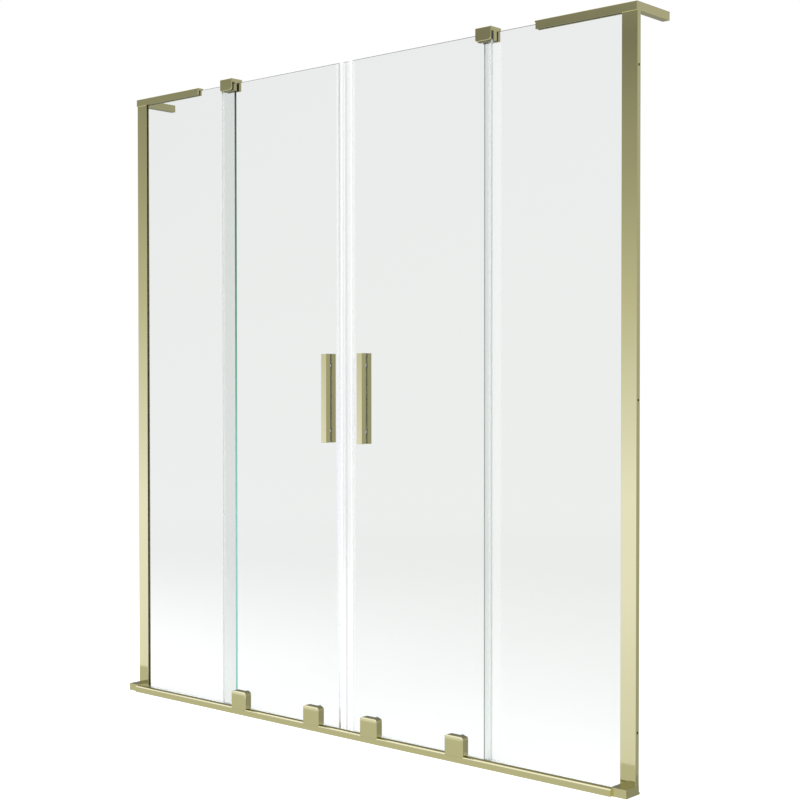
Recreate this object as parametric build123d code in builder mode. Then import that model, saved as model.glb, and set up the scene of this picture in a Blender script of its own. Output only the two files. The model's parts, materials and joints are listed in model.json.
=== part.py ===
from build123d import *
import os

# Sliding bath screen for an alcove: a fixed pane at each wall, and two glass doors that roll apart on a
# bottom rail. X runs from wall to wall, Z is up, and the outside of the bath is at -Y. The origin is the
# middle of the rail's underside, on the bath's rim. Every piece is drawn for the right-hand half, and
# its left-hand twin is the mirror image in the middle plane.

# Opening
overall_width = 1500.0
overall_height = 1500.0

# Glass
glass_thickness = 6.0
rail_to_door = 19.0
door_to_fixed = 17.0
fixed_free_edge_x = 381.0
fixed_wall_gap = 12.0
door_inner_edge_x = 21.0
door_outer_edge_x = 410.0
door_bottom = 7.0
door_top_drop = 14.0

# Clearances
seat_gap = 0.3
slide_gap = 0.4
bore_gap = 0.05
wheel_gap = 0.1

# Bottom rail, a hollow extrusion with a wheel track on top and a hook groove in its back
rail_depth = 15.0
rail_height = 14.5
rail_nose_radius = 4.0
rail_wall = 1.6
track_width = 7.0
track_depth = 1.0
groove_depth = 3.0
groove_bottom = 3.5
groove_height = 5.0
port_radius = 1.75
port_y = 2.4
port_z = 10.2

# Wall profile and its gasket
profile_width = 35.0
profile_depth = 12.0
profile_wall = 1.5
profile_web = 2.5
profile_screw_radius = 2.5
profile_screw_pitch = 630.0
profile_edge_radius = 1.0
gasket_mouth = 1.0
gasket_floor = 2.0

# Rail end block
block_height = 17.0
block_setback = 6.2
block_corner_radius = 2.0
block_wall = 3.0
rail_cap = 3.0
pocket_floor = 4.0
toe_depth = 3.0
toe_height = 4.0
peg_length = 10.0
peg_width = 4.5
end_screw_radius = 1.7
end_screw_length = 55.0
end_head_radius = 2.8
end_head_height = 3.0

# Top corner bracket
bracket_drop = 3.0
bracket_height = 17.0
bracket_depth = 16.0
bracket_reach = 239.0
bracket_lip = 2.0
bracket_lip_height = 3.0
bracket_arm = 107.0
bracket_arm_width = 16.0
bracket_cover = 5.0
bracket_edge_radius = 0.8
liner = 1.0
set_screw_radius = 2.0
set_screw_length = 3.5
set_screw_from_end = 14.0
set_screw_from_wall = 43.0

# Guide block
guide_width = 40.0
guide_height = 27.5
guide_overhang = 9.0
guide_front_leg = 3.5
guide_back_leg = 6.5
guide_roof = 8.0
guide_liner = 0.6
guide_corner_radius = 5.0
guide_bevel = 1.0

# Seals on the doors
clip_wall = 1.0
clip_leg = 6.0
meeting_gap = 0.3
magnet_housing_width = 9.0
magnet_housing_depth = 9.0
housing_wall = 0.8
fin_thickness = 1.0
fin_reach = 13.0
side_seal_drop = 4.5
drip_clip_height = 7.0
drip_floor = 2.0
drip_lip_length = 4.0

# Handle
handle_inset = 33.75
handle_width = 15.5
handle_depth = 13.0
handle_length = 198.0
handle_height = 746.0
handle_pitch = 145.0
handle_edge_radius = 0.8
pad_thickness = 1.0
pad_inset = 1.0
thread_depth = 9.0

# Glass holes and what goes through them
glass_hole_radius = 6.0
bolt_radius = 3.0
bolt_head_radius = 5.0
bolt_head_height = 5.0
socket_radius = 2.9
socket_depth = 2.5

# Carriage
inner_carriage_inset = 67.75
outer_carriage_inset = 79.25
cover_width = 49.5
cover_depth = 18.5
cover_top = 54.0
cover_wall = 2.5
cover_corner_radius = 6.0
cover_bevel = 1.8
frame_thickness = 3.0
hook_height = 3.4
hook_engagement = 2.3
bolt_height = 43.0
boss_radius = 9.0
disc_thickness = 4.0
disc_edge_radius = 0.8

# Wheel
wheel_radius = 12.0
wheel_width = 6.0
wheel_rim = 3.0
wheel_web = 3.0
hub_radius = 4.5
hub_length = 7.0
axle_radius = 2.5
axle_head_radius = 4.0
axle_head_height = 1.1

# Places worked out from the sizes above
wall_x = overall_width / 2
half_glass = glass_thickness / 2
door_y = rail_to_door
fixed_y = door_y + door_to_fixed
door_front = door_y - half_glass
door_back = door_y + half_glass
fixed_front = fixed_y - half_glass
fixed_back = fixed_y + half_glass
rail_front = -rail_depth / 2
rail_back = rail_depth / 2
rail_end_x = wall_x - profile_width
bracket_top = overall_height - bracket_drop
bracket_bottom = bracket_top - bracket_height
fixed_top = bracket_top - bracket_cover - liner
fixed_edge_x = wall_x - fixed_wall_gap
door_top = overall_height - door_top_drop
guide_bottom = overall_height - guide_height
track_z = rail_height - track_depth
wheel_z = track_z + wheel_gap + wheel_radius
handle_x = door_inner_edge_x + handle_inset
inner_carriage_x = door_inner_edge_x + inner_carriage_inset
outer_carriage_x = door_outer_edge_x - outer_carriage_inset
channel_depth = profile_depth - 2 * profile_wall
channel_end_x = wall_x - profile_web
sleeve_radius = glass_hole_radius - seat_gap
bolt_bore_radius = bolt_radius + bore_gap

os.makedirs("parts", exist_ok=True)


def front_view(y):
    """The upright plane at depth y, drawn as seen from outside the bath; it extrudes towards -Y."""
    return Plane.XZ.offset(-y)


def save(piece, name):
    """Label one piece and write its STEP file."""
    piece.part.label = name
    export_step(piece.part, f"parts/{name}.step")


def save_pair(piece, name):
    """Write a right-hand piece and its left-hand mirror image."""
    for side, solid in (("right", piece.part), ("left", mirror(piece.part, about=Plane.YZ))):
        solid.label = f"{name}_{side}"
        export_step(solid, f"parts/{name}_{side}.step")


def turned_screw(x, z, tip_y, neck_y, head_y, neck_radius, head_radius):
    """One screw along Y: shank, head and hexagon socket, with its head towards +Y."""
    with BuildPart() as screw:
        with BuildSketch(Plane.YZ.offset(x)):
            with Locations((tip_y, z)):
                Rectangle(head_y - tip_y, bolt_radius, align=Align.MIN)
            with BuildLine():
                Polyline(
                    (neck_y, z), (neck_y, z + neck_radius), (head_y, z + head_radius), (head_y, z), close=True
                )
            make_face()
        revolve(axis=Axis((x, 0, z), (0, 1, 0)))
        with BuildSketch(front_view(head_y)):
            with Locations((x, z)):
                RegularPolygon(socket_radius, 6)
        extrude(amount=socket_depth, mode=Mode.SUBTRACT)
    return screw.part


# Outline of the rail, which its end blocks share
with BuildSketch(Plane.YZ) as rail_outline:
    with Locations((0, rail_height / 2)):
        Rectangle(rail_depth, rail_height)
    fillet(rail_outline.vertices().group_by(Axis.Y)[-1].sort_by(Axis.X)[0], rail_nose_radius)

# Bottom rail
with BuildPart() as bottom_rail:
    with BuildSketch(Plane.YZ):
        add(rail_outline.sketch_local)
        with Locations((0, rail_height)):
            Rectangle(track_width, 2 * track_depth, mode=Mode.SUBTRACT)
        with Locations((rail_back - groove_depth, groove_bottom)):
            Rectangle(groove_depth, groove_height, align=Align.MIN, mode=Mode.SUBTRACT)
        with Locations((rail_front + rail_wall, rail_wall)):
            front_chamber = port_y - port_radius - rail_wall - (rail_front + rail_wall)
            Rectangle(front_chamber, track_z - 2 * rail_wall, align=Align.MIN, mode=Mode.SUBTRACT)
            lower_chamber = rail_back - groove_depth - rail_wall - (rail_front + rail_wall)
            lower_height = port_z - port_radius - 2 * rail_wall
            Rectangle(lower_chamber, lower_height, align=Align.MIN, mode=Mode.SUBTRACT)
        with Locations((port_y, port_z)):
            Circle(port_radius, mode=Mode.SUBTRACT)
    extrude(amount=rail_end_x, both=True)
save(bottom_rail, "bottom_rail")

# Rail end block, with a cap over the rail's end, a pocket for the fixed pane's foot and a peg into the
# wall profile
block_front = rail_front + block_setback
block_back = fixed_y + profile_depth / 2
with BuildPart() as rail_end_block:
    with BuildSketch(Plane.XY) as block_plan:
        with Locations((rail_end_x, block_front)):
            Rectangle(profile_width, block_back - block_front, align=Align.MIN)
        fillet(block_plan.vertices().sort_by(Axis.Y)[:2].sort_by(Axis.X)[0], block_corner_radius)
    extrude(amount=block_height)
    with BuildSketch(Plane.YZ.offset(rail_end_x)):
        add(rail_outline.sketch_local)
    extrude(amount=rail_cap)
    with BuildSketch(Plane.XY):
        with Locations((rail_end_x, block_back)):
            Rectangle(profile_width, toe_depth, align=Align.MIN)
    extrude(amount=toe_height)
    with BuildSketch(Plane.XY.offset(pocket_floor)):
        with Locations((rail_end_x, fixed_y)):
            pocket_length = fixed_wall_gap - gasket_floor
            Rectangle(
                profile_width - pocket_length + slide_gap,
                channel_depth,
                align=(Align.MIN, Align.CENTER),
            )
    extrude(amount=block_height, mode=Mode.SUBTRACT)
    with BuildSketch(Plane.XY):
        with Locations((rail_end_x + block_wall, rail_back + block_wall)):
            recess_depth = fixed_y - channel_depth / 2 - rail_back - 2 * block_wall
            Rectangle(profile_width - 2 * block_wall, recess_depth, align=Align.MIN)
    extrude(amount=block_height - block_wall, mode=Mode.SUBTRACT)
    with BuildSketch(Plane.XY.offset(block_height)):
        with Locations((channel_end_x - seat_gap, fixed_y)):
            peg_depth = channel_depth - 2 * seat_gap
            Rectangle(peg_width, peg_depth, align=(Align.MAX, Align.CENTER))
    extrude(amount=peg_length)
    with BuildSketch(Plane.YZ.offset(rail_end_x)):
        with Locations((port_y, port_z)):
            Circle(end_screw_radius + seat_gap)
    extrude(amount=profile_width, mode=Mode.SUBTRACT)
    with BuildSketch(Plane.YZ.offset(wall_x - end_head_height - seat_gap)):
        with Locations((port_y, port_z)):
            Circle(end_head_radius + seat_gap)
    extrude(amount=end_head_height + seat_gap, mode=Mode.SUBTRACT)
save_pair(rail_end_block, "rail_end_block")

# Screws along the rail, through the end blocks into the rail's screw port
with BuildPart() as rail_end_screws:
    screw_seat_x = wall_x - end_head_height - seat_gap
    with BuildSketch(Plane.YZ.offset(screw_seat_x)):
        with Locations((port_y, port_z)):
            Circle(end_head_radius)
    extrude(amount=end_head_height)
    with BuildSketch(Plane.YZ.offset(screw_seat_x)):
        with Locations((port_y, port_z)):
            Circle(end_screw_radius)
    extrude(amount=-end_screw_length)
    with BuildSketch(Plane.YZ.offset(screw_seat_x + end_head_height)):
        with Locations((port_y, port_z)):
            RegularPolygon(end_head_radius / 2, 6)
    extrude(amount=-end_head_height / 2, mode=Mode.SUBTRACT)
    mirror(about=Plane.YZ)
save(rail_end_screws, "rail_end_screws")

# Wall profile
with BuildPart() as wall_profile:
    with BuildSketch(Plane.XY.offset(block_height)) as profile_section:
        with Locations((wall_x, fixed_y)):
            Rectangle(profile_width, profile_depth, align=(Align.MAX, Align.CENTER))
        fillet(profile_section.vertices(), profile_edge_radius)
        with Locations((channel_end_x, fixed_y)):
            Rectangle(profile_width, channel_depth, align=(Align.MAX, Align.CENTER), mode=Mode.SUBTRACT)
    extrude(amount=bracket_bottom - block_height)
    profile_mid_z = (bracket_bottom + block_height) / 2
    with BuildSketch(Plane.YZ.offset(channel_end_x)):
        with Locations((fixed_y, profile_mid_z)):
            with GridLocations(profile_screw_pitch, profile_screw_pitch, 1, 3):
                Circle(profile_screw_radius)
    extrude(amount=profile_web, mode=Mode.SUBTRACT)
save_pair(wall_profile, "wall_profile")

# Gasket between the wall profile and the fixed pane
with BuildPart() as wall_gasket:
    with BuildSketch(Plane.XY.offset(pocket_floor)):
        with Locations((fixed_edge_x + gasket_floor, fixed_y)):
            gasket_width = profile_width - (fixed_wall_gap - gasket_floor) - gasket_mouth
            Rectangle(gasket_width, channel_depth, align=(Align.MAX, Align.CENTER))
        with Locations((fixed_edge_x, fixed_y)):
            Rectangle(profile_width, glass_thickness, align=(Align.MAX, Align.CENTER), mode=Mode.SUBTRACT)
    extrude(amount=bracket_bottom - pocket_floor)
save_pair(wall_gasket, "wall_gasket")

# Fixed pane
fixed_bottom = pocket_floor + seat_gap
with BuildPart() as fixed_glass:
    with BuildSketch(front_view(fixed_back)):
        with Locations((fixed_free_edge_x, fixed_bottom)):
            Rectangle(fixed_edge_x - fixed_free_edge_x, fixed_top - fixed_bottom, align=Align.MIN)
    extrude(amount=glass_thickness)
save_pair(fixed_glass, "fixed_glass")

# Seal under the fixed pane
with BuildPart() as fixed_bottom_seal:
    with BuildSketch(Plane.YZ.offset(fixed_free_edge_x)):
        seal_depth = glass_thickness + 2 * clip_wall
        with Locations((fixed_y, 0)):
            seal_height = fixed_bottom + clip_leg
            Rectangle(seal_depth, seal_height, align=(Align.CENTER, Align.MIN))
        with Locations((fixed_y, fixed_bottom)):
            Rectangle(glass_thickness, clip_leg, align=(Align.CENTER, Align.MIN), mode=Mode.SUBTRACT)
        with Locations((fixed_y, 0)):
            hollow_height = 2 * (fixed_bottom - drip_floor)
            Rectangle(glass_thickness - 2 * clip_wall, hollow_height, mode=Mode.SUBTRACT)
    extrude(amount=rail_end_x - seat_gap - fixed_free_edge_x)
save_pair(fixed_bottom_seal, "fixed_bottom_seal")

# Top corner bracket: the long arm holds the pane's top edge, the short arm runs back along the wall
bracket_front = fixed_y - bracket_depth / 2
bracket_back = fixed_y + bracket_depth / 2
bracket_end_x = wall_x - bracket_reach
arm_end_y = fixed_y + bracket_arm
slot_depth = glass_thickness + 2 * liner
slot_top = fixed_top + liner
screw_z = bracket_bottom + bracket_height / 2
bracket_screws_x = [bracket_end_x + set_screw_from_end, wall_x - set_screw_from_wall]
with BuildPart() as top_bracket:
    with BuildSketch(Plane.XY.offset(bracket_bottom)) as bracket_plan:
        with Locations((wall_x, bracket_front)):
            long_arm = bracket_reach - bracket_lip
            Rectangle(long_arm, bracket_depth, align=(Align.MAX, Align.MIN))
            arm_length = arm_end_y - bracket_front
            Rectangle(bracket_arm_width, arm_length, align=(Align.MAX, Align.MIN))
        fillet(bracket_plan.vertices().sort_by(Axis.Y)[-2:].sort_by(Axis.X)[0], block_corner_radius)
    extrude(amount=bracket_height)
    with BuildSketch(Plane.XY.offset(bracket_top - bracket_lip_height)):
        with Locations((bracket_end_x, fixed_y)):
            Rectangle(2 * bracket_lip, bracket_depth, align=(Align.MIN, Align.CENTER))
    extrude(amount=bracket_lip_height)
    fillet(top_bracket.edges().filter_by(GeomType.LINE).group_by(Axis.Z)[-1], bracket_edge_radius)
    with BuildSketch(Plane.YZ.offset(bracket_end_x)):
        with Locations((fixed_y, bracket_bottom)):
            slot_height = slot_top - bracket_bottom
            Rectangle(slot_depth, slot_height, align=(Align.CENTER, Align.MIN))
    extrude(amount=fixed_edge_x + liner - bracket_end_x, mode=Mode.SUBTRACT)
    with BuildSketch(front_view(fixed_y)):
        with Locations(*[(x, screw_z) for x in bracket_screws_x]):
            Circle(set_screw_radius + bore_gap)
    extrude(amount=-bracket_depth, mode=Mode.SUBTRACT)
save_pair(top_bracket, "top_bracket")

# Nylon liners in the brackets' glass slots
with BuildPart() as bracket_liners:
    with BuildSketch(Plane.YZ.offset(bracket_end_x + bracket_lip)):
        with Locations((fixed_y, bracket_bottom + seat_gap)):
            liner_height = slot_top - bracket_bottom - seat_gap
            Rectangle(slot_depth, liner_height, align=(Align.CENTER, Align.MIN))
        with Locations((fixed_y, fixed_top)):
            Rectangle(
                glass_thickness, bracket_height, align=(Align.CENTER, Align.MAX), mode=Mode.SUBTRACT
            )
    extrude(amount=fixed_edge_x - bracket_end_x - bracket_lip)
    mirror(about=Plane.YZ)
save(bracket_liners, "bracket_liners")

# Guide block: clamps the fixed pane's top corner and guides the door's top edge
guide_x = fixed_free_edge_x - guide_overhang
door_slot = glass_thickness + 2 * (slide_gap + guide_liner)
guide_front = door_y - door_slot / 2 - guide_front_leg
guide_back = fixed_y + slot_depth / 2 + guide_back_leg
guide_slot_top = overall_height - guide_roof
with BuildPart() as guide_block:
    with BuildSketch(Plane.YZ.offset(guide_x)):
        with Locations((guide_front, guide_bottom)):
            Rectangle(guide_back - guide_front, guide_height, align=Align.MIN)
        with Locations((door_y, guide_slot_top)):
            Rectangle(door_slot, guide_height, align=(Align.CENTER, Align.MAX), mode=Mode.SUBTRACT)
        with Locations((fixed_y, guide_slot_top)):
            Rectangle(slot_depth, guide_height, align=(Align.CENTER, Align.MAX), mode=Mode.SUBTRACT)
    extrude(amount=guide_width)
    leg_corners = guide_block.edges().filter_by(Axis.Y).group_by(Axis.Z)[0].group_by(Axis.Y)[0]
    fillet(leg_corners, guide_corner_radius)
    front_rim = guide_block.faces().sort_by(Axis.Y)[0].edges()
    chamfer(front_rim, guide_bevel)
    guide_mid_x = guide_x + guide_width / 2
    guide_screw_z = (guide_bottom + guide_slot_top) / 2
    with BuildSketch(front_view(guide_back)):
        with Locations((guide_mid_x, guide_screw_z)):
            Circle(set_screw_radius + bore_gap)
    extrude(amount=guide_back_leg, mode=Mode.SUBTRACT)
save_pair(guide_block, "guide_block")

# Nylon liners in the guide blocks' door slots
with BuildPart() as guide_liners:
    with BuildSketch(Plane.YZ.offset(guide_x + guide_bevel)):
        with Locations((door_y, guide_slot_top)):
            Rectangle(door_slot, guide_slot_top - guide_bottom, align=(Align.CENTER, Align.MAX))
        with Locations((door_y, guide_slot_top - guide_liner)):
            Rectangle(
                door_slot - 2 * guide_liner,
                guide_height,
                align=(Align.CENTER, Align.MAX),
                mode=Mode.SUBTRACT,
            )
    extrude(amount=guide_width - 2 * guide_bevel)
    liner_corners = guide_liners.edges().filter_by(Axis.Y).group_by(Axis.Z)[0].group_by(Axis.Y)[0]
    fillet(liner_corners, guide_corner_radius)
    mirror(about=Plane.YZ)
save(guide_liners, "guide_liners")

# Pads between the guide blocks and the fixed panes
with BuildPart() as guide_pads:
    with BuildSketch(Plane.YZ.offset(fixed_free_edge_x)):
        with Locations((fixed_y, guide_slot_top)):
            Rectangle(slot_depth, guide_slot_top - guide_bottom, align=(Align.CENTER, Align.MAX))
        with Locations((fixed_y, fixed_top)):
            Rectangle(glass_thickness, guide_height, align=(Align.CENTER, Align.MAX), mode=Mode.SUBTRACT)
    extrude(amount=guide_width - guide_overhang)
    mirror(about=Plane.YZ)
save(guide_pads, "guide_pads")

# Grub screws of the top brackets and guide blocks, all one size
with BuildPart() as set_screws:
    with BuildSketch(front_view(fixed_y + slot_depth / 2 + set_screw_length)):
        with Locations((guide_mid_x, guide_screw_z), *[(x, screw_z) for x in bracket_screws_x]):
            Circle(set_screw_radius)
    extrude(amount=set_screw_length)
    mirror(about=Plane.YZ)
save(set_screws, "set_screws")

# Door pane, with holes for the handle and both carriages
carriages_x = {"outer": outer_carriage_x, "inner": inner_carriage_x}
handle_holes = [(handle_x, handle_height + half * handle_pitch / 2) for half in (-1, 1)]
carriage_holes = [(x, bolt_height) for x in carriages_x.values()]
with BuildPart() as door_glass:
    with BuildSketch(front_view(door_back)):
        with Locations((door_inner_edge_x, door_bottom)):
            Rectangle(door_outer_edge_x - door_inner_edge_x, door_top - door_bottom, align=Align.MIN)
        with Locations(*handle_holes, *carriage_holes):
            Circle(glass_hole_radius, mode=Mode.SUBTRACT)
    extrude(amount=glass_thickness)
save_pair(door_glass, "door_glass")

# Clear seal where the doors meet: a clip on the glass, a web, and a housing for the magnet
clip_depth = glass_thickness + 2 * clip_wall
with BuildPart() as meeting_seal:
    with BuildSketch(Plane.XY.offset(door_bottom)):
        with Locations((door_inner_edge_x + clip_leg, door_y)):
            Rectangle(clip_leg + clip_wall, clip_depth, align=(Align.MAX, Align.CENTER))
        with Locations((meeting_gap + magnet_housing_width, door_y)):
            web_length = door_inner_edge_x - clip_wall - meeting_gap - magnet_housing_width
            Rectangle(web_length, glass_thickness, align=(Align.MIN, Align.CENTER))
            Rectangle(
                web_length,
                glass_thickness - 2 * clip_wall,
                align=(Align.MIN, Align.CENTER),
                mode=Mode.SUBTRACT,
            )
        with Locations((meeting_gap + magnet_housing_width / 2, door_y)):
            Rectangle(magnet_housing_width, magnet_housing_depth)
            Rectangle(
                magnet_housing_width - 2 * housing_wall,
                magnet_housing_depth - 2 * housing_wall,
                mode=Mode.SUBTRACT,
            )
        with Locations((door_inner_edge_x, door_y)):
            Rectangle(2 * clip_leg, glass_thickness, align=(Align.MIN, Align.CENTER), mode=Mode.SUBTRACT)
    extrude(amount=door_top - door_bottom)
save_pair(meeting_seal, "meeting_seal")

# Magnet strip inside the meeting seal
with BuildPart() as magnet_strip:
    with BuildSketch(Plane.XY.offset(door_bottom)):
        with Locations((meeting_gap + magnet_housing_width / 2, door_y)):
            Rectangle(
                magnet_housing_width - 2 * housing_wall,
                magnet_housing_depth - 2 * housing_wall,
            )
    extrude(amount=door_top - door_bottom)
save_pair(magnet_strip, "magnet_strip")

# Clear seal on the door's outer edge, with a fin that sweeps the fixed pane above its bottom seal
side_seal_bottom = fixed_bottom + clip_leg + seat_gap
with BuildPart() as side_seal:
    with BuildSketch(Plane.XY.offset(side_seal_bottom)):
        with Locations((door_outer_edge_x - clip_leg, door_y)):
            Rectangle(clip_leg + clip_wall, clip_depth, align=(Align.MIN, Align.CENTER))
            Rectangle(clip_leg, glass_thickness, align=(Align.MIN, Align.CENTER), mode=Mode.SUBTRACT)
        with BuildLine():
            fin_root = (door_outer_edge_x + clip_wall, door_back)
            fin_tip = (door_outer_edge_x + clip_wall + fin_reach, fixed_front - slide_gap)
            Polyline(
                fin_root,
                fin_tip,
                (fin_tip[0] - fin_thickness, fin_tip[1]),
                (fin_root[0] - fin_thickness, fin_root[1] + fin_thickness),
                (fin_root[0] - fin_thickness, fin_root[1]),
                close=True,
            )
        make_face()
    extrude(amount=guide_bottom - side_seal_drop - side_seal_bottom)
save_pair(side_seal, "side_seal")

# Drip seal under the door pane, between the two upright seals
drip_start_x = door_inner_edge_x + clip_leg + seat_gap
drip_end_x = door_outer_edge_x - clip_leg - seat_gap
with BuildPart() as bottom_seal:
    with BuildSketch(Plane.YZ.offset(drip_start_x)):
        with Locations((door_y, door_bottom - drip_floor)):
            drip_height = drip_floor + drip_clip_height
            Rectangle(clip_depth, drip_height, align=(Align.CENTER, Align.MIN))
        with Locations((door_y, door_bottom)):
            Rectangle(
                glass_thickness, drip_clip_height, align=(Align.CENTER, Align.MIN), mode=Mode.SUBTRACT
            )
        with Locations((door_back, door_bottom - drip_floor)):
            Rectangle(fin_thickness, drip_lip_length, align=Align.MAX)
    extrude(amount=drip_end_x - drip_start_x)
save_pair(bottom_seal, "bottom_seal")

# Handle: a bar on each side of the glass, drawn together by two screws from behind
front_bar_back = door_front - pad_thickness
back_bar_front = door_back + pad_thickness
back_bar_back = back_bar_front + handle_depth
with BuildPart() as handle_front:
    with BuildSketch(front_view(front_bar_back)):
        with Locations((handle_x, handle_height)):
            Rectangle(handle_width, handle_length)
    extrude(amount=handle_depth)
    fillet(handle_front.faces().sort_by(Axis.Y)[0].edges(), handle_edge_radius)
    with BuildSketch(front_view(front_bar_back)):
        with Locations(*handle_holes):
            Circle(bolt_bore_radius)
    extrude(amount=thread_depth, mode=Mode.SUBTRACT)
save_pair(handle_front, "handle_front")

with BuildPart() as handle_back:
    with BuildSketch(front_view(back_bar_back)):
        with Locations((handle_x, handle_height)):
            Rectangle(handle_width, handle_length)
    extrude(amount=handle_depth)
    fillet(handle_back.faces().sort_by(Axis.Y)[-1].edges(), handle_edge_radius)
    with BuildSketch(front_view(back_bar_back)):
        with Locations(*handle_holes):
            Circle(bolt_bore_radius)
    extrude(amount=handle_depth, mode=Mode.SUBTRACT)
    with BuildSketch(front_view(back_bar_back)):
        with Locations(*handle_holes):
            Circle(bolt_head_radius + seat_gap)
    extrude(amount=bolt_head_height + seat_gap, mode=Mode.SUBTRACT)
save_pair(handle_back, "handle_back")

with BuildPart() as handle_gaskets:
    for back_y in (door_front, back_bar_front):
        with BuildSketch(front_view(back_y)):
            with Locations((handle_x, handle_height)):
                Rectangle(handle_width - 2 * pad_inset, handle_length - 2 * pad_inset)
            with Locations(*handle_holes):
                Circle(bolt_radius + slide_gap, mode=Mode.SUBTRACT)
        extrude(amount=pad_thickness)
save_pair(handle_gaskets, "handle_gaskets")

with BuildPart() as handle_screws:
    for screw_x, screw_height in handle_holes:
        neck_y = back_bar_back - bolt_head_height - seat_gap
        tip_y = front_bar_back - thread_depth + 2 * seat_gap
        head_y = neck_y + bolt_head_height
        add(turned_screw(screw_x, screw_height, tip_y, neck_y, head_y, bolt_head_radius, bolt_head_radius))
save_pair(handle_screws, "handle_screws")

# Clear sleeves in all four glass holes
with BuildPart() as glass_sleeves:
    with BuildSketch(front_view(door_back)):
        with Locations(*handle_holes, *carriage_holes):
            Circle(sleeve_radius)
            Circle(bolt_radius + slide_gap, mode=Mode.SUBTRACT)
    extrude(amount=glass_thickness)
save_pair(glass_sleeves, "glass_sleeves")

# Carriages: cover, frame with a hook behind the rail, and wheel
cover_back = rail_front + cover_depth
frame_front = rail_back + slide_gap + bore_gap * 2
frame_back = frame_front + frame_thickness
inner_radius = cover_corner_radius - cover_wall
frame_width = cover_width - 2 * cover_wall - 2 * seat_gap
frame_top = cover_top - cover_wall - seat_gap
hook_z = groove_bottom + groove_height / 2
frame_bottom = hook_z - hook_height / 2
boss_end = door_front - pad_thickness
disc_front = door_back + pad_thickness
disc_back = disc_front + disc_thickness
axle_gap = 2 * wheel_gap
for place, x in carriages_x.items():
    with BuildPart() as carriage_cover:
        with BuildSketch(front_view(cover_back)) as cover_outline:
            with Locations((x, 0)):
                Rectangle(cover_width, cover_top, align=(Align.CENTER, Align.MIN))
            fillet(cover_outline.vertices().group_by(Axis.Y)[-1], cover_corner_radius)
        extrude(amount=cover_depth)
        chamfer(
            carriage_cover.faces().sort_by(Axis.Y)[0].edges().sort_by(Axis.Z)[1:],
            cover_bevel,
        )
        with BuildSketch(front_view(cover_back)) as cover_hollow:
            with Locations((x, 0)):
                Rectangle(
                    cover_width - 2 * cover_wall,
                    cover_top - cover_wall,
                    align=(Align.CENTER, Align.MIN),
                )
            fillet(cover_hollow.vertices().group_by(Axis.Y)[-1], inner_radius)
        extrude(amount=cover_depth - cover_wall, mode=Mode.SUBTRACT)
        with BuildSketch(Plane.YZ.offset(x)) as rail_scribe:
            with Locations((rail_front - seat_gap, 0)):
                Rectangle(2 * cover_depth, rail_height + seat_gap, align=Align.MIN)
            scribe_nose = rail_scribe.vertices().group_by(Axis.Y)[-1].sort_by(Axis.X)[0]
            fillet(scribe_nose, rail_nose_radius + seat_gap)
        extrude(amount=cover_width, both=True, mode=Mode.SUBTRACT)
    save_pair(carriage_cover, f"carriage_cover_{place}")

    with BuildPart() as carriage_frame:
        with BuildSketch(front_view(frame_back)) as plate_outline:
            with Locations((x, frame_bottom)):
                Rectangle(frame_width, frame_top - frame_bottom, align=(Align.CENTER, Align.MIN))
            fillet(plate_outline.vertices().group_by(Axis.Y)[-1], inner_radius)
        extrude(amount=frame_thickness)
        with BuildSketch(front_view(frame_back)):
            with Locations((x, frame_bottom)):
                Rectangle(frame_width, hook_height, align=(Align.CENTER, Align.MIN))
        extrude(amount=frame_back - rail_back + hook_engagement)
        with BuildSketch(front_view(frame_front)):
            with Locations((x, wheel_z)):
                Circle(hub_radius)
        extrude(amount=frame_front - hub_length / 2 - axle_gap)
        with BuildSketch(front_view(boss_end)):
            with Locations((x, bolt_height)):
                Circle(boss_radius)
        extrude(amount=boss_end - frame_back)
        with BuildSketch(front_view(frame_back)):
            with Locations((x, wheel_z)):
                Circle(axle_radius + bore_gap)
        extrude(amount=2 * frame_back, mode=Mode.SUBTRACT)
        with BuildSketch(front_view(boss_end)):
            with Locations((x, bolt_height)):
                Circle(bolt_bore_radius)
        extrude(amount=boss_end, mode=Mode.SUBTRACT)
    save_pair(carriage_frame, f"carriage_frame_{place}")

    with BuildPart() as wheel:
        with BuildSketch(Plane((x, 0, wheel_z), x_dir=(0, 1, 0), z_dir=(1, 0, 0))) as wheel_section:
            bore_radius = axle_radius + bore_gap
            with Locations((0, bore_radius)):
                Rectangle(hub_length, hub_radius - bore_radius, align=(Align.CENTER, Align.MIN))
                Rectangle(wheel_web, wheel_radius - bore_radius, align=(Align.CENTER, Align.MIN))
            with Locations((0, wheel_radius)):
                Rectangle(wheel_width, wheel_rim, align=(Align.CENTER, Align.MAX))
            fillet(wheel_section.vertices().group_by(Axis.Y)[-1], handle_edge_radius)
        revolve(axis=Axis((x, 0, wheel_z), (0, 1, 0)))
    save_pair(wheel, f"wheel_{place}")

# Axle pins, riveted in the frames and headed in front of the wheels
with BuildPart() as wheel_axles:
    for x in carriages_x.values():
        with BuildSketch(front_view(frame_back)):
            with Locations((x, wheel_z)):
                Circle(axle_radius)
        extrude(amount=frame_back + hub_length / 2 + axle_gap)
        with BuildSketch(front_view(-hub_length / 2 - axle_gap)):
            with Locations((x, wheel_z)):
                Circle(axle_head_radius)
        extrude(amount=axle_head_height)
save_pair(wheel_axles, "wheel_axles")

# Bolts that clamp the carriages to the glass
with BuildPart() as carriage_bolts:
    for bolt_x, bolt_z in carriage_holes:
        tip_y = frame_front - bolt_radius
        cone_y = disc_back - bolt_head_radius + bolt_radius
        add(turned_screw(bolt_x, bolt_z, tip_y, cone_y, disc_back, bolt_radius, bolt_head_radius))
save_pair(carriage_bolts, "carriage_bolts")

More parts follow.
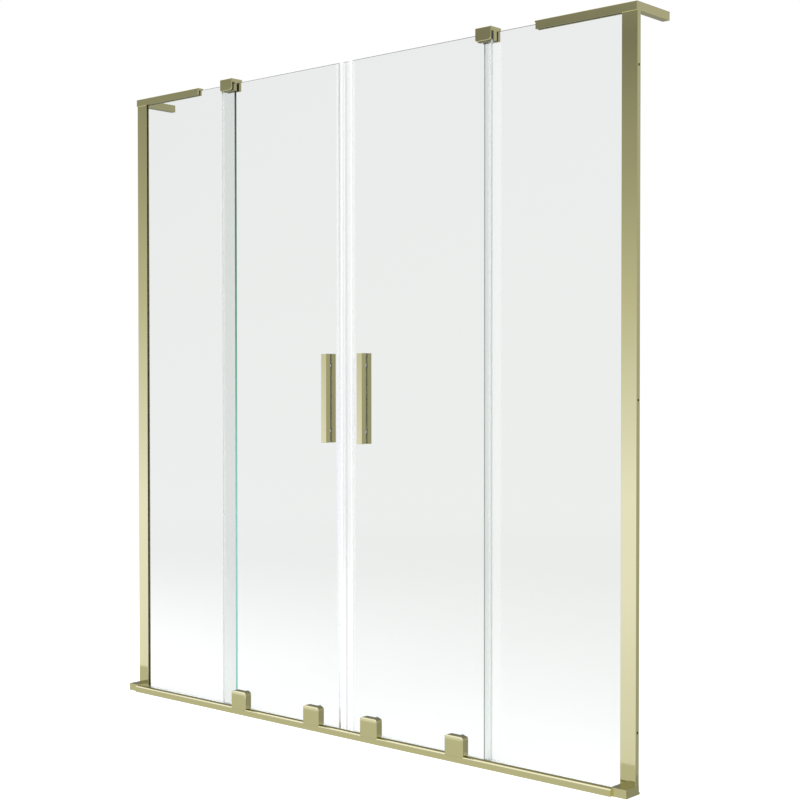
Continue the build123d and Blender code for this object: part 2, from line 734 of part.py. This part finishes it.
# Clear washers on both faces of the glass at each carriage
with BuildPart() as carriage_gaskets:
    for back_y in (door_front, disc_front):
        with BuildSketch(front_view(back_y)):
            with Locations(*carriage_holes):
                Circle(boss_radius)
                Circle(bolt_radius + slide_gap, mode=Mode.SUBTRACT)
        extrude(amount=pad_thickness)
save_pair(carriage_gaskets, "carriage_gaskets")

# Clamp discs behind the glass
with BuildPart() as clamp_discs:
    with BuildSketch(front_view(disc_back)):
        with Locations(*carriage_holes):
            Circle(boss_radius)
    extrude(amount=disc_thickness)
    fillet(clamp_discs.faces().filter_by(Axis.Y).group_by(Axis.Y)[-1].edges(), disc_edge_radius)
    for bolt_x, bolt_z in carriage_holes:
        with BuildSketch(Plane.YZ.offset(bolt_x)):
            with BuildLine():
                cone_start = disc_back - bolt_head_radius + bolt_radius
                Polyline(
                    (disc_front, bolt_z),
                    (disc_front, bolt_z + bolt_bore_radius),
                    (cone_start, bolt_z + bolt_bore_radius),
                    (disc_back, bolt_z + bolt_head_radius + bore_gap),
                    (disc_back, bolt_z),
                    close=True,
                )
            make_face()
        revolve(axis=Axis((bolt_x, 0, bolt_z), (0, 1, 0)), mode=Mode.SUBTRACT)
save_pair(clamp_discs, "clamp_discs")
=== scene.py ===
"""Sliding bath screen in champagne gold metal and clear glass, seen from the bath's outer side.

Every visible piece is a solid of the frame with a material from here. The script adds a white floor, soft studio
light and the photograph's camera. Lengths are in metres.
"""

import json
import math

import bpy
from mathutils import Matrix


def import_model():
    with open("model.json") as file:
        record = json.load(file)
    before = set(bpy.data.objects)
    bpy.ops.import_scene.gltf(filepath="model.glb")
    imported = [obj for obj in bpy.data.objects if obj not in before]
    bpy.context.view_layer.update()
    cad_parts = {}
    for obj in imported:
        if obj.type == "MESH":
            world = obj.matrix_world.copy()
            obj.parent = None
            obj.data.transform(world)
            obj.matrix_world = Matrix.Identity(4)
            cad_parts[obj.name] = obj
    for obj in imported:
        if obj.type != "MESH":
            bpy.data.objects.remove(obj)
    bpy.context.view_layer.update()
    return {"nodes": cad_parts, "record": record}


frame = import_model()
nodes = frame["nodes"]

scene = bpy.context.scene

SCREEN_HEIGHT = 1.5
GLASS_IOR = 1.45
CLEAR_SEAL_IOR = 1.30

# The part of a noise pattern's range that a surface's roughness follows
NOISE_LOW = 0.3
NOISE_HIGH = 0.7

# Faces of a pane whose normal leans less than this towards the front or the back are its edges
EDGE_LEAN = 0.9

# What the white surroundings give to diffuse light; the lamps bring it up to a plain level
DIFFUSE_LEVEL = 0.88

FLOOR_SIZE = 12.0
FLOOR_DROP = 0.0004
FLOOR_COLOUR = (0.85, 0.85, 0.85, 1)
# The floor's own surface ends between these distances from the screen's middle
FLOOR_NEAR = 2.0
FLOOR_FAR = 5.5
# The floor's glow: everywhere, added at the screen as a painted pool of light, what is left of that a metre away,
# added for the camera
GLOW_BASE = 0.165
GLOW_AT_SCREEN = 0.36
GLOW_LEFT = 0.20
GLOW_FOR_CAMERA = 0.14
# The strip under the screen that polished metal mirrors: half its depth, its level in front and behind
STRIP_REACH = 0.157
STRIP_FRONT = 0.57
STRIP_BACK = 0.31

# The studio that polished metal mirrors. Each stop is the upward slope of the mirrored ray and the light there.
SLOPE_REACH = 0.5


def grey(level):
    return (level, level, level)


CEILING = (
    (0.36, (0.60, 0.60, 0.66)),
    (0.45, (1.15, 1.14, 1.45)),
)
FRONT_LIGHT = (
    (-0.45, (0.62, 0.62, 0.66)),
    (-0.253, (0.78, 0.78, 0.90)),
    (-0.147, (0.95, 0.95, 1.22)),
    (-0.080, (0.98, 0.98, 1.28)),
    (-0.013, (0.80, 0.80, 0.96)),
    (0.054, (0.60, 0.60, 0.62)),
    (0.121, grey(0.43)),
    (0.178, grey(0.325)),
    (0.228, grey(0.215)),
    (0.34, (0.60, 0.60, 0.66)),
    (0.45, (1.15, 1.14, 1.45)),
)
RIGHT_LIGHT = (
    (-0.45, (0.40, 0.40, 0.41)),
    (-0.21, (0.40, 0.40, 0.42)),
    (0.0, (0.43, 0.43, 0.45)),
    (0.23, (0.49, 0.49, 0.51)),
    (0.34, (0.36, 0.36, 0.37)),
    (0.45, (0.26, 0.26, 0.27)),
)
LEFT_LIGHT = (
    (-0.45, grey(0.30)),
    (-0.10, grey(0.30)),
    (0.05, grey(0.24)),
    (0.30, grey(0.20)),
)
# On the right, rays that run more sideways than this get a little less light
RIGHT_SLANT = (0.65, 0.78)
RIGHT_SLANT_LEVEL = 0.94
SMALLEST_DEPTH = 0.001
# On the left, the ceiling ends between these values of y + LEFT_TURN * x
LEFT_TURN = 0.9
LEFT_TURN_SPAN = (-0.10, 0.20)
# Half widths of the blends between left and right and between front and back
SIDE_BLEND = 0.05
BACK_BLEND = 0.03

CAMERA_PLACE = (2.276162, -2.314262, 0.78492)
CAMERA_DIP = 1.046
CAMERA_TURN = 40.954
CAMERA_LENS = 66.283
CAMERA_SENSOR = 36.0
CAMERA_SHIFT = (-0.04048, 0.00953)
CAMERA_CLIP_END = 60.0


# Small helpers for node trees


def new_tree(owner):
    owner.use_nodes = True
    tree = owner.node_tree
    tree.nodes.clear()
    return tree


def put(socket, value):
    """Link a socket to another one, or give it a plain value."""
    if isinstance(value, bpy.types.NodeSocket):
        socket.id_data.links.new(value, socket)
    else:
        socket.default_value = value


def math_node(tree, kind, a, b=0.0, clamp=False):
    node = tree.nodes.new("ShaderNodeMath")
    node.operation = kind
    node.use_clamp = clamp
    put(node.inputs[0], a)
    put(node.inputs[1], b)
    return node.outputs[0]


def mix_colour(tree, factor, a, b, kind="MIX"):
    """Mix two colours; the node's colour sockets are inputs 6 and 7 and output 2."""
    node = tree.nodes.new("ShaderNodeMix")
    node.data_type = "RGBA"
    node.blend_type = kind
    put(node.inputs[0], factor)
    put(node.inputs[6], a)
    put(node.inputs[7], b)
    return node.outputs[2]


def mix_value(tree, factor, a, b):
    """Mix two numbers; the node's number sockets are inputs 2 and 3 and output 0."""
    node = tree.nodes.new("ShaderNodeMix")
    put(node.inputs[0], factor)
    put(node.inputs[2], a)
    put(node.inputs[3], b)
    return node.outputs[0]


def mix_shader(tree, factor, a, b):
    node = tree.nodes.new("ShaderNodeMixShader")
    put(node.inputs[0], factor)
    put(node.inputs[1], a)
    put(node.inputs[2], b)
    return node.outputs[0]


def map_range(tree, value, low, high, to_low=0.0, to_high=1.0, smooth=False):
    node = tree.nodes.new("ShaderNodeMapRange")
    node.interpolation_type = "SMOOTHSTEP" if smooth else "LINEAR"
    for socket, number in zip(node.inputs, (value, low, high, to_low, to_high)):
        put(socket, number)
    return node.outputs[0]


def ramp(tree, value, stops):
    node = tree.nodes.new("ShaderNodeValToRGB")
    elements = node.color_ramp.elements
    while len(elements) < len(stops):
        elements.new(0.5)
    for element, (place, colour) in zip(elements, stops):
        element.position = place
        element.color = (*colour, 1.0)
    put(node.inputs[0], value)
    return node.outputs[0]


def noise(tree, scale, detail=2.0, stretch=(1.0, 1.0, 1.0)):
    place = tree.nodes.new("ShaderNodeTexCoord")
    shift = tree.nodes.new("ShaderNodeMapping")
    put(shift.inputs["Scale"], stretch)
    put(shift.inputs["Vector"], place.outputs["Object"])
    node = tree.nodes.new("ShaderNodeTexNoise")
    put(node.inputs["Scale"], scale)
    put(node.inputs["Detail"], detail)
    put(node.inputs["Vector"], shift.outputs["Vector"])
    return node.outputs[0]


def roughness(tree, pattern, smoothest, roughest):
    return map_range(tree, pattern, NOISE_LOW, NOISE_HIGH, smoothest, roughest)


def bump(tree, height, strength, distance):
    node = tree.nodes.new("ShaderNodeBump")
    put(node.inputs["Strength"], strength)
    put(node.inputs["Distance"], distance)
    put(node.inputs["Height"], height)
    return node.outputs["Normal"]


def separate(tree, vector):
    node = tree.nodes.new("ShaderNodeSeparateXYZ")
    put(node.inputs[0], vector)
    return node.outputs


def surface_position(tree):
    return tree.nodes.new("ShaderNodeNewGeometry").outputs["Position"]


def light_path(tree):
    return tree.nodes.new("ShaderNodeLightPath").outputs


def mirrored_ray(tree, path):
    """1 for a ray that a surface mirrors, 0 for any other, also for one that goes through glass."""
    return math_node(tree, "SUBTRACT", path["Is Glossy Ray"], path["Is Transmission Ray"], clamp=True)


def emission(tree, strength):
    node = tree.nodes.new("ShaderNodeEmission")
    put(node.inputs["Strength"], strength)
    return node.outputs[0]


def background(tree, colour, strength=1.0):
    node = tree.nodes.new("ShaderNodeBackground")
    put(node.inputs["Color"], colour)
    put(node.inputs["Strength"], strength)
    return node.outputs[0]


def principled(tree, **values):
    node = tree.nodes.new("ShaderNodeBsdfPrincipled")
    for name, value in values.items():
        put(node.inputs[name.replace("_", " ")], value)
    return node.outputs[0]


def surface(tree, shader, kind="ShaderNodeOutputMaterial"):
    out = tree.nodes.new(kind)
    put(out.inputs["Surface"], shader)


def new_material(name):
    material = bpy.data.materials.new(name)
    return material, new_tree(material)


# Materials


def gold_material():
    """Polished champagne gold."""
    material, tree = new_material("champagne gold")
    mottle = noise(tree, scale=9.0, detail=3.0)
    colour = mix_colour(tree, mottle, (0.790, 0.752, 0.388, 1), (0.815, 0.778, 0.404, 1))
    rough = roughness(tree, noise(tree, scale=60.0, detail=4.0), 0.050, 0.075)
    normal = bump(tree, noise(tree, scale=35.0, detail=1.0), strength=0.03, distance=0.0004)
    surface(tree, principled(tree, Base_Color=colour, Metallic=1.0, Roughness=rough, Normal=normal))
    return material


def steel_material():
    """Brushed stainless steel, its grain drawn out upwards."""
    material, tree = new_material("stainless steel")
    grain = noise(tree, scale=420.0, stretch=(1.0, 1.0, 0.06))
    rough = roughness(tree, grain, 0.22, 0.32)
    normal = bump(tree, grain, strength=0.06, distance=0.0002)
    steel = (0.62, 0.62, 0.61, 1)
    surface(tree, principled(tree, Base_Color=steel, Metallic=1.0, Roughness=rough, Normal=normal))
    return material


def glass_material():
    """Clear toughened glass with a faint grey-green tint."""
    material, tree = new_material("clear glass")
    rough = roughness(tree, noise(tree, scale=3.0), 0.0, 0.012)
    normal = bump(tree, noise(tree, scale=1.3, detail=1.0), strength=0.02, distance=0.0003)
    glass = principled(tree, Base_Color=(0.842, 0.8585, 0.843, 1), Roughness=rough, IOR=GLASS_IOR, Normal=normal,
                       Transmission_Weight=1.0, Specular_Tint=(0.2, 0.2, 0.0, 1))
    clear = tree.nodes.new("ShaderNodeBsdfTransparent")
    put(clear.inputs["Color"], (0.92, 0.94, 0.93, 1))
    surface(tree, mix_shader(tree, light_path(tree)["Is Shadow Ray"], glass, clear.outputs[0]))
    return material


def glass_edge_with_painted_shade_material(name, tones):
    """The ground edges of a pane, the glass seen lengthways; tones run from the screen's foot to its top. The teal
    is the glass's own colour. The darkening towards the top and the dark line along the top are painted shade and
    painted reflection.
    """
    material, tree = new_material(name)
    height = separate(tree, surface_position(tree))["Z"]
    # Painted shade and painted reflection: the edge's colour is set by height, darker towards the top
    edge_colour_and_painted_shade = ramp(tree, map_range(tree, height, 0.0, SCREEN_HEIGHT), tones)
    speckle = noise(tree, scale=80.0, detail=3.0)
    colour = mix_colour(tree, speckle, edge_colour_and_painted_shade, (0.9, 0.95, 0.93, 1), "MULTIPLY")
    rough = roughness(tree, speckle, 0.12, 0.22)
    normal = bump(tree, speckle, strength=0.05, distance=0.0002)
    surface(tree, principled(tree, Base_Color=colour, Roughness=rough, IOR=GLASS_IOR, Normal=normal))
    return material


def seal_material():
    """Soft clear strip, thin and slightly milky."""
    material, tree = new_material("clear seal")
    rough = roughness(tree, noise(tree, scale=120.0), 0.18, 0.28)
    normal = bump(tree, noise(tree, scale=70.0), strength=0.05, distance=0.0003)
    milky = (0.90, 0.925, 0.92, 1)
    surface(tree, principled(tree, Base_Color=milky, Roughness=rough, IOR=CLEAR_SEAL_IOR, Alpha=0.08, Normal=normal))
    return material


def plain_material(name, dark, light, smoothest, roughest, scale, distance):
    """Moulded plastic or rubber in two close tones."""
    material, tree = new_material(name)
    patches = noise(tree, scale, detail=3.0)
    colour = mix_colour(tree, patches, (*dark, 1), (*light, 1))
    rough = roughness(tree, patches, smoothest, roughest)
    normal = bump(tree, patches, 0.15, distance)
    surface(tree, principled(tree, Base_Color=colour, Roughness=rough, Normal=normal))
    return material


MATERIALS = {
    "gold_metal": gold_material(),
    "stainless": steel_material(),
    "glass": glass_material(),
    "clear_seal": seal_material(),
    "magnet": plain_material(
        "white magnet strip", dark=(0.91, 0.93, 0.93), light=(0.95, 0.96, 0.96),
        smoothest=0.40, roughest=0.52, scale=90.0, distance=0.0003,
    ),
    "nylon": plain_material(
        "natural nylon", dark=(0.80, 0.79, 0.74), light=(0.86, 0.85, 0.80),
        smoothest=0.35, roughest=0.50, scale=140.0, distance=0.0003,
    ),
    "dark_nylon": plain_material(
        "bronze nylon", dark=(0.210, 0.198, 0.125), light=(0.245, 0.232, 0.148),
        smoothest=0.35, roughest=0.50, scale=140.0, distance=0.0003,
    ),
    "dark_rubber": plain_material(
        "dark rubber", dark=(0.150, 0.142, 0.092), light=(0.175, 0.166, 0.108),
        smoothest=0.50, roughest=0.65, scale=110.0, distance=0.0004,
    ),
}

for part in frame["record"]["subparts"]:
    for slot in nodes[part["node"]].material_slots:
        slot.material = MATERIALS[part["material_slot"]]

# The pane edges' tones, painted darker towards the top as painted shade and painted reflection: the last two of each
# are a painted dark line along the top
OPEN_EDGE = glass_edge_with_painted_shade_material("open glass edge with painted shade", (
    (0.000, (0.46, 1.00, 0.94)),
    (0.300, (0.39, 0.95, 0.83)),
    (0.470, (0.25, 0.69, 0.57)),
    (0.700, (0.095, 0.34, 0.27)),
    (0.970, (0.020, 0.120, 0.098)),
    (0.974, (0.012, 0.030, 0.030)),
    (1.000, (0.012, 0.030, 0.030)),
))
SEALED_EDGE = glass_edge_with_painted_shade_material("sealed glass edge with painted shade", (
    (0.000, (0.76, 0.84, 0.82)),
    (0.940, (0.70, 0.77, 0.75)),
    (0.980, (0.60, 0.68, 0.66)),
    (0.984, (0.012, 0.030, 0.030)),
    (1.000, (0.012, 0.030, 0.030)),
))
PANES = {
    "fixed_glass_left": OPEN_EDGE,
    "fixed_glass_right": SEALED_EDGE,
    "door_glass_left": SEALED_EDGE,
    "door_glass_right": SEALED_EDGE,
}
for name, edge in PANES.items():
    pane = nodes[name]
    pane.data.materials.append(edge)
    edge_index = len(pane.data.materials) - 1
    for face in pane.data.polygons:
        if abs(face.normal.y) < EDGE_LEAN:
            face.material_index = edge_index
    pane.visible_glossy = False


# Floor, world and lamps


def floor():
    """White floor: keeps the shadow near the screen, melts into the white background further out."""
    bpy.ops.mesh.primitive_plane_add(size=FLOOR_SIZE, location=(0.0, 0.0, -FLOOR_DROP))
    plane = bpy.context.object
    plane.name = "floor"
    material, tree = new_material("white floor")
    position = surface_position(tree)
    y = separate(tree, position)["Y"]
    from_screen = math_node(tree, "ABSOLUTE", y)
    path = light_path(tree)

    # Near the screen: white paint that catches the shadow, with a glow that is strongest under the screen, a painted
    # pool of light
    paint = tree.nodes.new("ShaderNodeBsdfDiffuse")
    put(paint.inputs["Color"], FLOOR_COLOUR)
    # Painted pool of light: a glow that falls off with distance from the screen
    painted_light_pool = math_node(tree, "MULTIPLY", math_node(tree, "POWER", GLOW_LEFT, from_screen), GLOW_AT_SCREEN)
    for_camera = math_node(tree, "MULTIPLY", path["Is Camera Ray"], GLOW_FOR_CAMERA)
    glow = math_node(tree, "ADD", math_node(tree, "ADD", painted_light_pool, for_camera), GLOW_BASE)
    not_diffuse = math_node(tree, "SUBTRACT", 1.0, path["Is Diffuse Ray"])
    near_floor = tree.nodes.new("ShaderNodeAddShader")
    put(near_floor.inputs[0], paint.outputs[0])
    put(near_floor.inputs[1], emission(tree, math_node(tree, "MULTIPLY", glow, not_diffuse)))

    # Further out: the background's own white
    far_floor = emission(tree, mix_value(tree, path["Is Diffuse Ray"], 1.0, DIFFUSE_LEVEL))
    length = tree.nodes.new("ShaderNodeVectorMath")
    length.operation = "LENGTH"
    put(length.inputs[0], position)
    near = map_range(tree, length.outputs["Value"], FLOOR_NEAR, FLOOR_FAR, 1.0, 0.0, smooth=True)
    seen = mix_shader(tree, near, far_floor, near_floor.outputs[0])

    # In polished metal: a strip under the screen, and past it the studio below
    behind = math_node(tree, "GREATER_THAN", y, 0.0)
    strip = emission(tree, mix_value(tree, behind, STRIP_FRONT, STRIP_BACK))
    nothing = tree.nodes.new("ShaderNodeBsdfTransparent")
    under = math_node(tree, "LESS_THAN", from_screen, STRIP_REACH)
    mirrored = mix_shader(tree, under, nothing.outputs[0], strip)

    surface(tree, mix_shader(tree, mirrored_ray(tree, path), seen, mirrored))
    plane.data.materials.append(material)


def world():
    """White to the eye and to diffuse light; a studio gradient for polished metal."""
    sky = bpy.data.worlds.new("studio")
    scene.world = sky
    tree = new_tree(sky)
    place = tree.nodes.new("ShaderNodeTexCoord")
    x, y, z = separate(tree, place.outputs["Generated"])
    level = map_range(tree, z, -SLOPE_REACH, SLOPE_REACH)

    def light(stops):
        return ramp(tree, level, [(slope + SLOPE_REACH, colour) for slope, colour in stops])

    def blend(value, low, high, a, b):
        return mix_colour(tree, map_range(tree, value, low, high, smooth=True), a, b)

    depth = math_node(tree, "MAXIMUM", y, SMALLEST_DEPTH)
    slant = math_node(tree, "DIVIDE", math_node(tree, "ABSOLUTE", x), depth)
    shade = map_range(tree, slant, *RIGHT_SLANT, 1.0, RIGHT_SLANT_LEVEL, smooth=True)
    right_back = mix_colour(tree, 1.0, light(RIGHT_LIGHT), shade, "MULTIPLY")
    turn = math_node(tree, "ADD", y, math_node(tree, "MULTIPLY", x, LEFT_TURN))
    left_back = blend(turn, *LEFT_TURN_SPAN, light(LEFT_LIGHT + CEILING), light(LEFT_LIGHT))
    back = blend(x, -SIDE_BLEND, SIDE_BLEND, left_back, right_back)
    studio = blend(y, -BACK_BLEND, BACK_BLEND, light(FRONT_LIGHT), back)

    path = light_path(tree)
    white = background(tree, (1.0, 1.0, 1.0, 1), mix_value(tree, path["Is Diffuse Ray"], 1.0, DIFFUSE_LEVEL))
    seen = mix_shader(tree, mirrored_ray(tree, path), white, background(tree, studio))
    surface(tree, seen, "ShaderNodeOutputWorld")


def soft_light(name, place, aim, width, power):
    """A square lamp that lights the screen and that neither the camera, metal nor glass shows."""
    data = bpy.data.lights.new(name, "AREA")
    data.shape = "SQUARE"
    data.size = width
    data.energy = power
    lamp = bpy.data.objects.new(name, data)
    scene.collection.objects.link(lamp)
    lamp.location = place
    x, y, z = (a - p for a, p in zip(aim, place))
    lamp.rotation_euler = (math.atan2(math.hypot(x, y), -z), 0.0, math.atan2(x, -y) + math.pi)
    lamp.visible_glossy = False
    lamp.visible_transmission = False
    lamp.visible_camera = False


floor()
world()
soft_light("key", place=(1.6, -2.6, 3.2), aim=(0.0, 0.0, 0.4), width=2.0, power=45.0)
soft_light("fill", place=(-2.6, -1.8, 2.6), aim=(0.0, 0.0, 0.6), width=2.4, power=22.0)

# Camera, fitted to the edges in the photograph

camera_data = bpy.data.cameras.new("camera")
camera = bpy.data.objects.new("camera", camera_data)
scene.collection.objects.link(camera)
camera.location = CAMERA_PLACE
camera.rotation_euler = (math.radians(90.0 - CAMERA_DIP), 0.0, math.radians(CAMERA_TURN))
camera_data.sensor_width = CAMERA_SENSOR
camera_data.lens = CAMERA_LENS
camera_data.shift_x, camera_data.shift_y = CAMERA_SHIFT
camera_data.clip_end = CAMERA_CLIP_END
scene.camera = camera
scene.view_settings.view_transform = "Standard"
